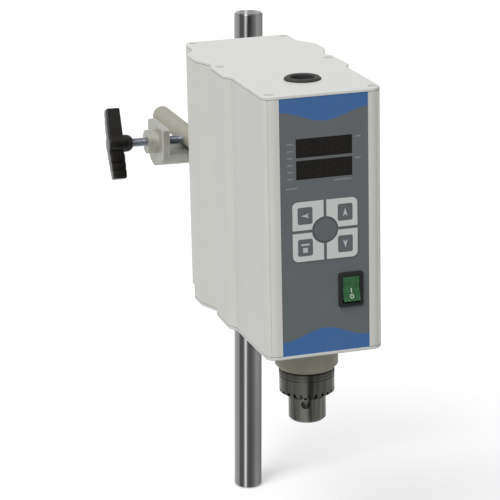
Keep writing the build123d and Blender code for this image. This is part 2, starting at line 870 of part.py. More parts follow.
def make_chuck_body():
    body = turned((0, 0), (nose_radius - nose_mouth_radius, 0), (nose_radius, nose_mouth_radius),
                  (nose_radius, nut_low - 0.3), (chuck_groove_radius, nut_low - 0.3),
                  (chuck_groove_radius, nut_high + 0.3), (chuck_back_radius, nut_high + 0.3),
                  (chuck_back_radius, chuck_back_top), (0, chuck_back_top))
    body -= rod_between(spindle_bore_radius, -1, chuck_back_top + 1)
    body -= rod_between(spindle_nose_radius, chuck_back_top - spindle_nose_length, chuck_back_top + 1)
    for turn in jaw_turns():
        body -= jaw_axis_place(turn) * rod_between(jaw_radius + jaw_bore_fit, -6, jaw_tail_level / cos(radians(jaw_angle)) + 2)
    for i in range(jaw_count):
        hole = Rot(0, 0, key_hole_turn + 360.0 / jaw_count * i) * Pos(nose_radius - key_hole_depth, 0, key_hole_level)
        body -= hole * Rot(0, 90, 0) * rod_between(key_hole_radius, 0, key_hole_depth + 1)
    return in_chuck(body)


def make_chuck_sleeve():
    inner = nose_radius + sleeve_fit
    groove = knurl_low
    sleeve = turned((inner, sleeve_bevel_low), (sleeve_bevel_radius, sleeve_bevel_low),
                    (sleeve_radius, sleeve_bevel_high), (sleeve_radius, groove - knurl_groove_width),
                    (sleeve_radius - knurl_groove_depth, groove - knurl_groove_width),
                    (sleeve_radius - knurl_groove_depth, groove), (sleeve_radius, groove),
                    (sleeve_radius, sleeve_top - 0.7), (sleeve_radius - 0.7, sleeve_top),
                    (jaw_space_radius, sleeve_top), (jaw_space_radius, nut_high),
                    (nut_radius, nut_high), (nut_radius, nut_low), (sleeve_relief_radius, nut_low),
                    (inner, sleeve_relief_level))
    cone_angle = 90 - 180 / pi * asin((sleeve_bevel_radius - sleeve_radius) / sqrt(
        (sleeve_bevel_radius - sleeve_radius) ** 2 + (sleeve_bevel_high - sleeve_bevel_low) ** 2))
    middle_radius = (sleeve_radius + sleeve_bevel_radius) / 2
    middle_level = (sleeve_bevel_high + sleeve_bevel_low) / 2
    for i in range(sleeve_teeth):
        slot = Box(tooth_slot_depth * 2, tooth_slot_width, sleeve_radius)
        place = Rot(0, 0, 360.0 / sleeve_teeth * i) * Pos(middle_radius, 0, middle_level) * Rot(0, cone_angle - 90, 0)
        sleeve -= place * slot
    return in_chuck(sleeve)


def make_chuck_nut():
    # A threaded ring in two halves. Its cone is parallel to the jaws.
    slope = tan(radians(jaw_angle))
    reach = (jaw_radius + jaw_bore_fit) / cos(radians(jaw_angle))
    low = jaw_mouth_offset + nut_low * slope + reach
    high = jaw_mouth_offset + nut_high * slope + reach
    nut = turned((low, nut_low), (nut_radius, nut_low), (nut_radius, nut_high), (high, nut_high))
    nut -= Box(2 * nut_radius + 2, nut_split, 2 * nut_high + 2)
    return in_chuck(nut)


def make_jaw(turn):
    # Shaped closed, where the jaws meet, then slid up its line to where it rests open.
    travel = jaw_travel()
    closed_tip = jaw_tip_level - travel * cos(radians(jaw_angle))
    slope_length = jaw_tail_level / cos(radians(jaw_angle))
    bar = rod_between(jaw_radius, -jaw_tail_level, slope_length + 1)
    bar = Pos(jaw_mouth_offset, 0, 0) * Rot(0, jaw_angle, 0) * bar
    open_shift = (travel * sin(radians(jaw_angle)), 0, travel * cos(radians(jaw_angle)))
    tail = jaw_tail_level - open_shift[2]
    wedge = make_face(Polyline((jaw_closed_radius, 0), (jaw_tail_level, -jaw_tail_level * sqrt(3)),
                               (jaw_tail_level, jaw_tail_level * sqrt(3)), close=True))
    sector = extrude(Pos(0, 0, closed_tip) * wedge, tail - closed_tip)
    jaw = Pos(*open_shift) * (bar & sector)
    jaw &= rod_between(jaw_tail_radius, -jaw_tail_level, jaw_tail_level + 1)
    return in_chuck(Rot(0, 0, turn) * jaw)


# Clamp, made in its own axes and then set on the arm
def in_clamp(shape):
    return Pos(0, clamp_reach, arm_level) * Rot(0, clamp_tilt, 0) * shape


def leg_outer():
    return jaw_depth + leg_thickness


def groove_points(radius, half):
    # Depth of a groove of 120 degrees that a round bar of that radius lies in: its apex and its mouth.
    apex = radius / cos(radians(30))
    mouth = (radius - half * sin(radians(30))) / cos(radians(30))
    return apex, mouth


def make_clamp_body():
    rod_leg = rod_spacing + leg_outer()
    points = (
        (-clamp_front, clamp_top, clamp_small_radius),
        (-clamp_front, -clamp_floor + clamp_front_bevel, clamp_small_radius),
        (-clamp_front + clamp_front_bevel, -clamp_floor, clamp_small_radius),
        (clamp_keel_reach, -clamp_keel, clamp_corner_radius),
        (clamp_rear - 3, -clamp_heel, clamp_corner_radius),
        (clamp_rear, 0, clamp_corner_radius),
        (clamp_rear, clamp_top, clamp_small_radius),
    )
    path = FilletPolyline(*[(-leg_outer(), v, w) for v, w, r in points], radius=[r for v, w, r in points], close=True)
    body = extrude(make_face(path), leg_outer() + rod_leg, dir=(1, 0, 0))
    body = chamfer(body.faces().sort_by(Axis.X)[0].edges(), clamp_edge)
    body = chamfer(body.faces().sort_by(Axis.X)[-1].edges(), clamp_edge)
    tall = clamp_keel + clamp_top
    apex, mouth = groove_points(arm_radius + jaw_fit, arm_jaw_half)
    slot = make_face(Polyline((-jaw_depth, 0, -arm_jaw_half), (mouth, 0, -arm_jaw_half), (apex, 0, 0),
                              (mouth, 0, arm_jaw_half), (mouth, 0, tall), (-jaw_depth, 0, tall), close=True))
    body -= extrude(slot, clamp_rear + clamp_front, dir=(0, 1, 0), both=True)
    apex, mouth = groove_points(rod_radius + jaw_fit, rod_jaw_half)
    rear = clamp_rear + clamp_front
    slot = make_face(Polyline((rod_spacing + jaw_depth, -rod_jaw_half, 0), (rod_spacing - mouth, -rod_jaw_half, 0),
                              (rod_spacing - apex, 0, 0), (rod_spacing - mouth, rod_jaw_half, 0),
                              (rod_spacing - mouth, rear, 0), (rod_spacing + jaw_depth, rear, 0), close=True))
    body -= extrude(slot, tall, dir=(0, 0, 1), both=True)
    for start, end in ((-leg_outer() - boss_length, -leg_outer() + clamp_edge), (rod_leg - clamp_edge, rod_leg + boss_length)):
        body += Pos(start, 0, 0) * Rot(0, 90, 0) * rod_between(boss_radius, 0, end - start)
    for start, end in ((-leg_outer() - boss_length - 1, -jaw_depth + 1), (rod_spacing + jaw_depth - 1, rod_leg + boss_length + 1)):
        body -= Pos(start, 0, 0) * Rot(0, 90, 0) * rod_between(screw_radius + screw_fit, 0, end - start)
    return in_clamp(body)


def make_pad(tip):
    # Built for the arm side, pointing along +u, its face at tip.
    return Pos(tip - pad_thickness, 0, 0) * Rot(0, 90, 0) * rod_between(pad_radius, 0, pad_thickness)


def make_screw(tip, head):
    shank = rod_between(screw_radius, 0, tip - pad_thickness - head)
    shank = chamfer(shank.faces().sort_by(Axis.Z)[-1].edges(), 0.6)
    return Pos(head, 0, 0) * Rot(0, 90, 0) * shank


def make_knob(head, turn):
    # Two wings, bowed on the outside, on a round hub that ends where the free screw starts.
    half = knob_length / 2
    inner = -knob_hub_length
    outer_end = inner - knob_end
    outer_middle = inner - knob_waist
    edges = Wire([
        Line((inner, 0, -half), (inner, 0, half)).edge(),
        Line((inner, 0, half), (outer_end, 0, half)).edge(),
        ThreePointArc((outer_end, 0, half), (outer_middle, 0, 0), (outer_end, 0, -half)).edge(),
        Line((outer_end, 0, -half), (inner, 0, -half)).edge(),
    ])
    wings = extrude(make_face(edges), knob_width / 2, dir=(0, 1, 0), both=True)
    wings = fillet(wings.edges(), knob_edge)
    hub = Pos(inner - 1, 0, 0) * Rot(0, 90, 0) * Cone(
        knob_hub_radius + 0.6, knob_hub_radius - 0.6, knob_hub_length + 1, align=(Align.CENTER, Align.CENTER, Align.MIN))
    knob = wings + hub
    return Pos(head, 0, 0) * Rot(turn, 0, 0) * knob


def arm_screw_set():
    tip = -arm_radius - pad_gap
    head = -leg_outer() - boss_length - screw_free_length
    return make_pad(tip), make_screw(tip, head), make_knob(head, arm_knob_turn)


def rod_screw_set():
    # The same set turned round to press on the rod from the far side.
    tip = -rod_radius - pad_gap
    head = -leg_outer() - boss_length - screw_free_length
    turn = Pos(rod_spacing, 0, 0) * Rot(0, 0, 180)
    return [turn * piece for piece in (make_pad(tip), make_screw(tip, head), make_knob(head, rod_knob_turn))]


def make_stand_rod():
    rod = rod_between(rod_radius, -rod_below, rod_above, rod_spacing, 0)
    ends = rod.faces().filter_by(GeomType.PLANE)
    return in_clamp(chamfer([edge for face in ends for edge in face.edges()], rod_end_bevel))


def main():
    os.makedirs("parts", exist_ok=True)
    save(make_case(), "case")
    bore = rod_between(ring_neck_radius, case_high - 1, top_face + 1)
    save(make_cover(case_high, True) - bore, "top_cover")
    collar_hole = rod_between(collar_radius, -1, cover_thickness + 1)
    bottom_cover = make_cover(0, False) - collar_hole
    for x, y in post_places():
        bottom_cover -= cover_screw(x, y, False)
    for x, y in collar_screw_places():
        bottom_cover -= collar_screw(x, y)
    save(bottom_cover, "bottom_cover")
    places = cover_screw_places()
    save_group([cover_screw(x, y, True) for x, y in places], "top_cover_screws")
    save_group([cover_screw(x, y, False) for x, y in places + post_places()], "bottom_cover_screws")
    save(make_panel(), "front_panel")
    save(make_window(upper_window_level), "upper_display_window")
    save(make_window(lower_window_level), "lower_display_window")
    for name, (side, row) in corner_keys.items():
        save(make_key(lambda grow, front, back: keypad_piece(side, row, grow, front, back)), name)
    save(make_key(middle_key_piece), "mode_key")
    save(make_switch_bezel(), "switch_body")
    save(make_rocker(), "switch_rocker")
    save(make_shaft_ring(), "shaft_hole_ring")

    save(make_collar(), "bearing_housing")
    save_group([collar_screw(x, y) for x, y in collar_screw_places()], "bearing_housing_screws")
    levels = (lower_bearing_level, upper_bearing_level)
    save_group([make_outer_ring(level) for level in levels], "bearing_outer_rings")
    inner_radius = bearing_bore_radius + bearing_ring
    save_group([tube_between(inner_radius, bearing_bore_radius, level, level + bearing_width) for level in levels],
               "bearing_inner_rings")
    save(make_spindle(), "spindle")
    save_group([tube_between(retaining_ring_radius, bearing_bore_radius, level + bearing_width,
                             level + bearing_width + retaining_ring_thickness) for level in levels],
               "retaining_rings")
    save(make_pulley(spindle_pitch_radius, bearing_bore_radius, 0), "spindle_pulley")
    save(make_pulley(motor_pitch_radius, motor_shaft_radius, motor_y), "motor_pulley")
    save(make_belt(), "drive_belt")
    save(make_drive_plate(), "drive_plate")
    save_group(make_posts(), "drive_plate_posts")
    save_group([cap_screw(x, y, drive_plate_top, drive_plate_top - post_screw_length - 6, post_screw_radius)
                for x, y in post_places()]
               + [cap_screw(x, y, drive_plate_top, drive_plate_level - 5, post_screw_radius)
                  for x, y in motor_screw_places()], "drive_plate_screws")
    save(make_motor(), "motor_can")
    save(make_motor_bell(), "motor_end_bell")
    save(make_motor_shaft(), "motor_shaft")
    save(make_control_board(), "control_board")
    save_group(make_board_spacers(), "control_board_spacers")
    save_group([make_key_switch(x, z) for x, z in key_centres().values()], "key_switches")
    save_group([make_display_module(level) for level in (upper_window_level, lower_window_level)],
               "display_modules")
    save(make_power_board(), "power_board")
    save_group(make_power_spacers(), "power_board_spacers")
    save(make_transformer(), "transformer")
    save(make_inlet(), "mains_inlet")
    save_group(make_inlet_pins(), "mains_inlet_pins")

    save(make_arm_flange(), "arm_flange")
    save_group([make_arm_screw(x, z) for x, z in arm_screw_places()], "arm_flange_screws")
    save(make_backing_plate(), "arm_backing_plate")
    save(make_arm_nut(), "arm_nut")
    save(make_arm(), "support_arm")

    save(make_chuck_body(), "chuck_body")
    save(make_chuck_sleeve(), "chuck_sleeve")
    save(make_chuck_nut(), "chuck_nut")
    for number, turn in enumerate(jaw_turns(), start=1):
        save(make_jaw(turn), f"chuck_jaw_{number}")

    save(make_clamp_body(), "clamp_body")
    for prefix, pieces in (("arm", arm_screw_set()), ("rod", rod_screw_set())):
        for piece, name in zip(pieces, ("pad", "screw", "knob")):
            save(in_clamp(piece), f"{prefix}_clamp_{name}")
    save(make_stand_rod(), "stand_rod")
    print("jaw travel", round(jaw_travel(), 3))


main()
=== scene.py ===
from math import cos, pi, radians, sin
import bpy
import numpy as np
from mathutils import Matrix, Vector
from mathutils.bvhtree import BVHTree


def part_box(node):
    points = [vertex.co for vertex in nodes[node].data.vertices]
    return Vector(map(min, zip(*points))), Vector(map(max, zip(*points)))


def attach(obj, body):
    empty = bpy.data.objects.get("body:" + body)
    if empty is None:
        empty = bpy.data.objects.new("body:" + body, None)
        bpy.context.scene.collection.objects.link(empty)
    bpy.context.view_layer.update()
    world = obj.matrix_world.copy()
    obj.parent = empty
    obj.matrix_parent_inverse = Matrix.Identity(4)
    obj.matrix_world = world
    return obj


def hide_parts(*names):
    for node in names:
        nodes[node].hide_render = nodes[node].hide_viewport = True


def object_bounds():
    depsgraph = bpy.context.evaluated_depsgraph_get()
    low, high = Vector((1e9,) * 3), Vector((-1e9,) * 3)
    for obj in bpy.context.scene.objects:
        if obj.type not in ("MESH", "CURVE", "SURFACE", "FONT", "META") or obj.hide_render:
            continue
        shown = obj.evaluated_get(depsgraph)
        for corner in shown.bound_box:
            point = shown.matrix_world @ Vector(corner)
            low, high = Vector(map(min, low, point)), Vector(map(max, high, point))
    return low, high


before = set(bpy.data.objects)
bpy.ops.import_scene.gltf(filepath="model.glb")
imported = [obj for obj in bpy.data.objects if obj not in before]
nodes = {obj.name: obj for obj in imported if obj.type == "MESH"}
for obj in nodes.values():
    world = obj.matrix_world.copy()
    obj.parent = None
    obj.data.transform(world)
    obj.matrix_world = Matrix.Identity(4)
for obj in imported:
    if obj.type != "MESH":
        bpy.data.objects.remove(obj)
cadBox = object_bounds()
print("frame loaded,", len(nodes), "nodes")

# Sizes are in metres. These are shared by several pieces
millimetre = 0.001
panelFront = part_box("front_panel")[0][1]
printLift = 0.03 * millimetre
# Most values of a noise pattern lie between these; the tight pair gives harder edges
tightNoise = (0.35, 0.65)
looseNoise = (0.3, 0.7)


# Node helpers for the materials

def startMaterial(name):
    # An empty material with one principled shader, wired to the output
    material = bpy.data.materials.new(name)
    material.use_nodes = True
    tree = material.node_tree
    tree.nodes.clear()
    output = tree.nodes.new("ShaderNodeOutputMaterial")
    shader = tree.nodes.new("ShaderNodeBsdfPrincipled")
    tree.links.new(shader.outputs["BSDF"], output.inputs["Surface"])
    return material, tree, shader


def mathNode(tree, operation, first, second=None, third=None, clamp=False):
    # Each value is a plain number or the output of another node
    made = tree.nodes.new("ShaderNodeMath")
    made.operation = operation
    made.use_clamp = clamp
    for socket, value in zip(made.inputs, (first, second, third)):
        if value is None:
            continue
        if isinstance(value, (int, float)):
            socket.default_value = value
        else:
            tree.links.new(value, socket)
    return made.outputs[0]


def objectPoint(tree, move=(0, 0, 0), turn=(0, 0, 0), scale=(1, 1, 1)):
    # The place on the piece in its own coordinates, moved, turned and scaled
    coordinates = tree.nodes.new("ShaderNodeTexCoord")
    mapping = tree.nodes.new("ShaderNodeMapping")
    mapping.inputs["Location"].default_value = move
    mapping.inputs["Rotation"].default_value = turn
    mapping.inputs["Scale"].default_value = scale
    tree.links.new(coordinates.outputs["Object"], mapping.inputs["Vector"])
    return mapping.outputs[0]


def splitPoint(tree, point):
    parts = tree.nodes.new("ShaderNodeSeparateXYZ")
    tree.links.new(point, parts.inputs[0])
    return tuple(parts.outputs)


def noiseNode(tree, point, size, detail=3.0, roughness=0.55):
    # size is about how large a spot is
    noise = tree.nodes.new("ShaderNodeTexNoise")
    noise.inputs["Scale"].default_value = 1.0 / size
    noise.inputs["Detail"].default_value = detail
    noise.inputs["Roughness"].default_value = roughness
    tree.links.new(point, noise.inputs["Vector"])
    return noise.outputs[0]


def rampValue(tree, value, given, wanted=(0.0, 1.0)):
    # A straight ramp from the given range to the wanted one, flat outside it
    ranged = tree.nodes.new("ShaderNodeMapRange")
    ranged.inputs["From Min"].default_value, ranged.inputs["From Max"].default_value = given
    ranged.inputs["To Min"].default_value, ranged.inputs["To Max"].default_value = wanted
    tree.links.new(value, ranged.inputs["Value"])
    return ranged.outputs[0]


def mixColour(tree, factor, first, second):
    # From the first colour to the second; each is a plain colour or the output of another node
    mixer = tree.nodes.new("ShaderNodeMix")
    mixer.data_type = "RGBA"
    tree.links.new(factor, mixer.inputs["Factor"])
    for socket, colour in ((mixer.inputs["A"], first), (mixer.inputs["B"], second)):
        if isinstance(colour, tuple):
            socket.default_value = (*colour, 1.0)
        else:
            tree.links.new(colour, socket)
    return mixer.outputs["Result"]


def bumpFrom(tree, shader, height, strength, depth):
    bump = tree.nodes.new("ShaderNodeBump")
    bump.inputs["Strength"].default_value = strength
    bump.inputs["Distance"].default_value = depth
    tree.links.new(height, bump.inputs["Height"])
    tree.links.new(bump.outputs[0], shader.inputs["Normal"])


def roughnessFrom(tree, shader, pattern, roughness, less, more):
    # The roughness follows a pattern, from a little less than the given value to a little more
    wanted = (roughness - less, roughness + more)
    tree.links.new(rampValue(tree, pattern, looseNoise, wanted), shader.inputs["Roughness"])


def shade(colour, factor):
    # The same colour, lighter or darker, and never past white
    return tuple(min(1.0, part * factor) for part in colour)


# Finishes

# What a look below doesn't say. A seam is a band of heights, and its shadow fades out between two shares of
# the band's width
paintBase = {"pitRange": (0.22, 0.36), "pitShade": 0.45, "bumpShare": 0.35, "metal": 0.0, "seams": (),
             "seamShade": 0.10, "seamFade": (0.35, 0.5), "seamDepth": 0.75}
paintLooks = {
    "casePaint": {"colour": (0.70, 0.705, 0.665), "mottleSize": 0.05, "mottle": 0.018, "grainSize": 0.0009,
                  "grain": 0.10, "roughness": 0.42, "shine": 0.35, "pitDark": 0.05,
                  "seams": ((0.1596, 0.1602), (0.0018, 0.0024))},
    "coverPaint": {"colour": (0.74, 0.745, 0.715), "mottleSize": 0.04, "mottle": 0.015, "grainSize": 0.0009,
                   "grain": 0.10, "roughness": 0.45, "shine": 0.3, "pitDark": 0.05},
    "castPaint": {"colour": (0.385, 0.370, 0.305), "mottleSize": 0.012, "mottle": 0.07, "grainSize": 0.0012,
                  "grain": 0.45, "roughness": 0.55, "shine": 0.35, "pitDark": 0.30},
    "blastedCasting": {"colour": (0.430, 0.430, 0.388), "mottleSize": 0.010, "mottle": 0.10,
                       "grainSize": 0.0011, "grain": 0.60, "roughness": 0.48, "shine": 0.5, "pitDark": 0.35,
                       "metal": 0.55},
    "blackMoulding": {"colour": (0.020, 0.020, 0.020), "mottleSize": 0.01, "mottle": 0.12,
                      "grainSize": 0.0005, "grain": 0.25, "roughness": 0.42, "shine": 0.12, "pitDark": 0.0},
    "knobMoulding": {"colour": (0.009, 0.008, 0.007), "mottleSize": 0.008, "mottle": 0.15,
                     "grainSize": 0.0016, "grain": 0.08, "roughness": 0.20, "shine": 0.22, "pitDark": 0.0},
    "rubberBlack": {"colour": (0.030, 0.030, 0.029), "mottleSize": 0.006, "mottle": 0.15,
                    "grainSize": 0.0004, "grain": 0.40, "roughness": 0.62, "shine": 0.3, "pitDark": 0.0},
    "keyFilm": {"colour": (0.68, 0.70, 0.685), "mottleSize": 0.02, "mottle": 0.01, "grainSize": 0.00035,
                "grain": 0.12, "roughness": 0.40, "shine": 0.15, "pitDark": 0.0},
    "modeFilm": {"colour": (0.140, 0.155, 0.163), "mottleSize": 0.02, "mottle": 0.02, "grainSize": 0.00035,
                 "grain": 0.12, "roughness": 0.40, "shine": 0.12, "pitDark": 0.0},
    "motorPaint": {"colour": (0.035, 0.035, 0.038), "mottleSize": 0.02, "mottle": 0.08, "grainSize": 0.0010,
                   "grain": 0.30, "roughness": 0.40, "shine": 0.5, "pitDark": 0.0},
    "boardMask": {"colour": (0.020, 0.110, 0.045), "mottleSize": 0.004, "mottle": 0.18, "grainSize": 0.0009,
                  "grain": 0.20, "roughness": 0.30, "shine": 0.5, "pitDark": 0.10},
    "ironCore": {"colour": (0.055, 0.050, 0.045), "mottleSize": 0.003, "mottle": 0.25, "grainSize": 0.0010,
                 "grain": 0.50, "roughness": 0.50, "shine": 0.5, "pitDark": 0.2, "metal": 0.6},
}


def makePaint(name, look):
    # Sprayed paint, moulding or film: a faint mottle, fine orange peel, and darker colour in the tiniest pits
    look = {**paintBase, **look}
    material, tree, shader = startMaterial(name)
    point = objectPoint(tree)
    mottle = noiseNode(tree, point, look["mottleSize"], 4.0)
    body = mixColour(tree, rampValue(tree, mottle, tightNoise), shade(look["colour"], 1 - look["mottle"]),
                     shade(look["colour"], 1 + look["mottle"]))
    grain = noiseNode(tree, point, look["grainSize"], 2.0)
    # The colour darkens in the lowest places of the grain, the same pits that the bump sinks
    pits = mathNode(tree, "MULTIPLY", rampValue(tree, grain, look["pitRange"], (1.0, 0.0)), look["pitDark"])
    body = mixColour(tree, pits, body, shade(look["colour"], look["pitShade"]))
    for low, high in look["seams"]:
        # A dark line of shadow where a cover meets the case
        height = splitPoint(tree, point)[2]
        away = mathNode(tree, "ABSOLUTE", mathNode(tree, "SUBTRACT", height, (low + high) / 2))
        fade = tuple((high - low) * share for share in look["seamFade"])
        dark = rampValue(tree, away, fade, (look["seamDepth"], 0.0))
        body = mixColour(tree, dark, body, shade(look["colour"], look["seamShade"]))
    tree.links.new(body, shader.inputs["Base Color"])
    roughnessFrom(tree, shader, mottle, look["roughness"], 0.05, 0.05)
    shader.inputs["Specular IOR Level"].default_value = look["shine"]
    shader.inputs["Metallic"].default_value = look["metal"]
    bumpFrom(tree, shader, grain, look["grain"], look["grainSize"] * look["bumpShare"])
    return material


# run is how far a streak runs in x, y and z
metalBase = {"cloudRange": (0.55, 0.75), "stainShade": 0.35, "cutDepth": 0.0001}
metalLooks = {
    "plainSteel": {"colour": (0.46, 0.46, 0.44), "run": (0.004, 0.004, 0.0004), "streak": 0.18,
                   "cloudSize": 0.006, "stain": 0.3, "roughness": 0.34, "cut": 0.25},
    "groundSteel": {"colour": (0.52, 0.52, 0.51), "run": (0.0030, 0.0030, 0.0002), "streak": 0.12,
                    "cloudSize": 0.01, "stain": 0.15, "roughness": 0.22, "cut": 0.20},
    "zincSteel": {"colour": (0.30, 0.32, 0.36), "run": (0.0006, 0.004, 0.004), "streak": 0.20,
                  "cloudSize": 0.004, "stain": 0.35, "roughness": 0.25, "cut": 0.20},
    "brightAluminium": {"colour": (0.62, 0.63, 0.64), "run": (0.0004, 0.006, 0.006), "streak": 0.08,
                        "cloudSize": 0.02, "stain": 0.10, "roughness": 0.32, "cut": 0.25},
    "plainBrass": {"colour": (0.58, 0.42, 0.16), "run": (0.002, 0.0003, 0.002), "streak": 0.15,
                   "cloudSize": 0.004, "stain": 0.35, "roughness": 0.30, "cut": 0.20},
}


def makeMetal(name, look):
    # Turned or drawn metal: fine streaks that run one way, with a few stained patches
    look = {**metalBase, **look}
    material, tree, shader = startMaterial(name)
    stretched = objectPoint(tree, scale=tuple(1.0 / step for step in look["run"]))
    streaks = noiseNode(tree, stretched, 1.0, 4.0, 0.65)
    cloud = noiseNode(tree, objectPoint(tree), look["cloudSize"], 3.0)
    body = mixColour(tree, rampValue(tree, streaks, looseNoise), shade(look["colour"], 1 - look["streak"]),
                     shade(look["colour"], 1 + look["streak"]))
    stain = rampValue(tree, cloud, look["cloudRange"], (0.0, look["stain"]))
    body = mixColour(tree, stain, body, shade(look["colour"], look["stainShade"]))
    tree.links.new(body, shader.inputs["Base Color"])
    roughnessFrom(tree, shader, streaks, look["roughness"], 0.06, 0.08)
    shader.inputs["Metallic"].default_value = 1.0
    bumpFrom(tree, shader, streaks, look["cut"], look["cutDepth"])
    return material


# The sleeve is darker than the nose, and its knurled band darker and duller again
# dark and light are the two ends of the painted reflection bands round each shaft
turnedBase = {"dark": (0.022, 0.021, 0.019), "light": (0.17, 0.168, 0.150), "reflectionBandSize": 0.40,
              "reflectionBandRange": (0.36, 0.66), "alongChange": 3.0, "fineShare": 0.12, "roughness": 0.33,
              "grainSize": 0.0007, "grain": 0.30, "bumpShare": 0.2}
turnedLooks = {
    "chuckSteel": {},
    "sleeveSteel": {"dark": (0.020, 0.020, 0.018), "light": (0.118, 0.118, 0.105)},
    "knurlSteel": {"dark": (0.020, 0.019, 0.017), "light": (0.075, 0.072, 0.062), "roughness": 0.48},
}


def makeTurnedMetal(name, look):
    # Metal with painted reflection: bands that run along the shaft axis, noise over the angle round it,
    # hardly changing along it
    look = {**turnedBase, **look}
    material, tree, shader = startMaterial(name)
    x, y, z = splitPoint(tree, objectPoint(tree))
    angle = mathNode(tree, "ARCTAN2", y, x)
    circle = tree.nodes.new("ShaderNodeCombineXYZ")
    tree.links.new(mathNode(tree, "COSINE", angle), circle.inputs["X"])
    tree.links.new(mathNode(tree, "SINE", angle), circle.inputs["Y"])
    tree.links.new(mathNode(tree, "MULTIPLY", z, look["alongChange"]), circle.inputs["Z"])
    reflectionBands = noiseNode(tree, circle.outputs[0], look["reflectionBandSize"], 4.0, 0.6)
    fine = noiseNode(tree, circle.outputs[0], look["reflectionBandSize"] * look["fineShare"], 2.0, 0.6)
    # Painted reflection: the base colour goes from dark to light with the bands round the axis
    body = mixColour(tree, rampValue(tree, reflectionBands, look["reflectionBandRange"]), look["dark"], look["light"])
    tree.links.new(body, shader.inputs["Base Color"])
    roughnessFrom(tree, shader, fine, look["roughness"], 0.05, 0.07)
    shader.inputs["Metallic"].default_value = 1.0
    grain = noiseNode(tree, objectPoint(tree), look["grainSize"], 2.0)
    height = mathNode(tree, "ADD", fine, grain)
    bumpFrom(tree, shader, height, look["grain"], look["grainSize"] * look["bumpShare"])
    return material


# The stand rod leans by this many degrees about the arm's axis, and its centre line goes through place. Each
# band is painted reflection: a place across the rod, from -1 to 1 along the direction across in x and y, and
# how bright the reflection painted into the polished steel's colour is there
rodLook = {"lean": 1.3, "place": (0.04199, 0.2472, 0.06845), "radius": 0.010, "across": (0.954, -0.298),
           "reflectionBands": ((-1.0, 0.30), (-0.70, 0.24), (-0.56, 0.060), (-0.36, 0.065), (-0.17, 0.60),
                     (-0.03, 0.080), (0.20, 0.060), (0.42, 0.125), (0.60, 0.25), (0.80, 0.21),
                     (0.93, 0.075), (1.0, 0.20)),
           "tint": (0.985, 1.0, 0.995), "hazeScale": (90.0, 90.0, 12.0), "hazeRange": (0.3, 0.8),
           "haze": 0.22, "hazeShade": 0.13, "streakScale": (9000.0, 9000.0, 150.0), "roughness": 0.30,
           "grain": 0.10, "grainDepth": 0.00012}


def makePolishedRod(name, look):
    # Soft bands of painted reflection that run the whole length, with fine drawn streaks
    # and a little haze over them
    material, tree, shader = startMaterial(name)
    lean = radians(look["lean"])
    centre = Matrix.Rotation(-lean, 3, "Y") @ Vector(look["place"])
    x, y, _ = splitPoint(tree, objectPoint(tree, tuple(-part for part in centre), (0.0, -lean, 0.0)))
    side, front = (part / (2 * look["radius"]) for part in look["across"])
    place = mathNode(tree, "MULTIPLY_ADD", x, side, 0.5)
    place = mathNode(tree, "MULTIPLY_ADD", y, front, place)
    # The ramp paints the studio's reflection into the base colour, band by band across the rod
    ramp = tree.nodes.new("ShaderNodeValToRGB")
    ramp.color_ramp.interpolation = "EASE"
    stops = ramp.color_ramp.elements
    stops.remove(stops[0])
    for number, (where, bright) in enumerate(look["reflectionBands"]):
        stop = stops[0] if number == 0 else stops.new((where + 1) / 2)
        stop.position = (where + 1) / 2
        stop.color = (*shade(look["tint"], bright), 1.0)
    tree.links.new(place, ramp.inputs["Fac"])
    cloud = noiseNode(tree, objectPoint(tree, scale=look["hazeScale"]), 1.0, 3.0)
    haze = rampValue(tree, cloud, look["hazeRange"], (0.0, look["haze"]))
    body = mixColour(tree, haze, ramp.outputs["Color"], shade(look["tint"], look["hazeShade"]))
    tree.links.new(body, shader.inputs["Base Color"])
    streaks = noiseNode(tree, objectPoint(tree, scale=look["streakScale"]), 1.0, 2.0)
    roughnessFrom(tree, shader, streaks, look["roughness"], 0.05, 0.07)
    shader.inputs["Metallic"].default_value = 1.0
    bumpFrom(tree, shader, streaks, look["grain"], look["grainDepth"])
    return material


filmLook = {
    "grey": (0.145, 0.160, 0.168), "blue": (0.062, 0.165, 0.400), "edge": 0.00015,
    "upper": {"middle": 0.0004, "half": 0.029, "height": -0.0067, "level": 0.1517, "sides": (0.0, 1.0)},
    "lower": {"middle": -0.0004, "half": 0.0264, "height": 0.0066, "level": 0.0109, "sides": (1.0, 0.0)},
    "mottleSize": 0.02, "mottleRange": (0.4, 0.8), "mottle": 0.10, "mottleShade": 1.5, "grainSize": 0.0003,
    "grain": 0.12, "grainDepth": 0.00006, "roughness": 0.41, "shine": 0.12,
}


def makePanelFilm(name, look):
    # Grey film with a blue field above and below. The edge of each follows
    # level + height * (1 + cos(turn)) / 2, where turn goes from 0 at the swell's middle to pi at its ends
    material, tree, shader = startMaterial(name)
    x, _, z = splitPoint(tree, objectPoint(tree))
    fields = []
    for swell in (look["upper"], look["lower"]):
        away = mathNode(tree, "ABSOLUTE", mathNode(tree, "SUBTRACT", x, swell["middle"]))
        turn = rampValue(tree, away, (0.0, swell["half"]), (0.0, pi))
        rise = mathNode(tree, "MULTIPLY_ADD", mathNode(tree, "COSINE", turn), swell["height"] / 2,
                        swell["level"] + swell["height"] / 2)
        above = mathNode(tree, "SUBTRACT", z, rise)
        fields.append(rampValue(tree, above, (-look["edge"], look["edge"]), swell["sides"]))
    blue = mathNode(tree, "ADD", fields[0], fields[1], clamp=True)
    body = mixColour(tree, blue, look["grey"], look["blue"])
    spots = noiseNode(tree, objectPoint(tree), look["mottleSize"], 3.0)
    mottle = rampValue(tree, spots, look["mottleRange"], (0.0, look["mottle"]))
    body = mixColour(tree, mottle, body, shade(look["grey"], look["mottleShade"]))
    tree.links.new(body, shader.inputs["Base Color"])
    grain = noiseNode(tree, objectPoint(tree), look["grainSize"], 2.0)
    roughnessFrom(tree, shader, grain, look["roughness"], 0.05, 0.05)
    shader.inputs["Specular IOR Level"].default_value = look["shine"]
    bumpFrom(tree, shader, grain, look["grain"], look["grainDepth"])
    return material


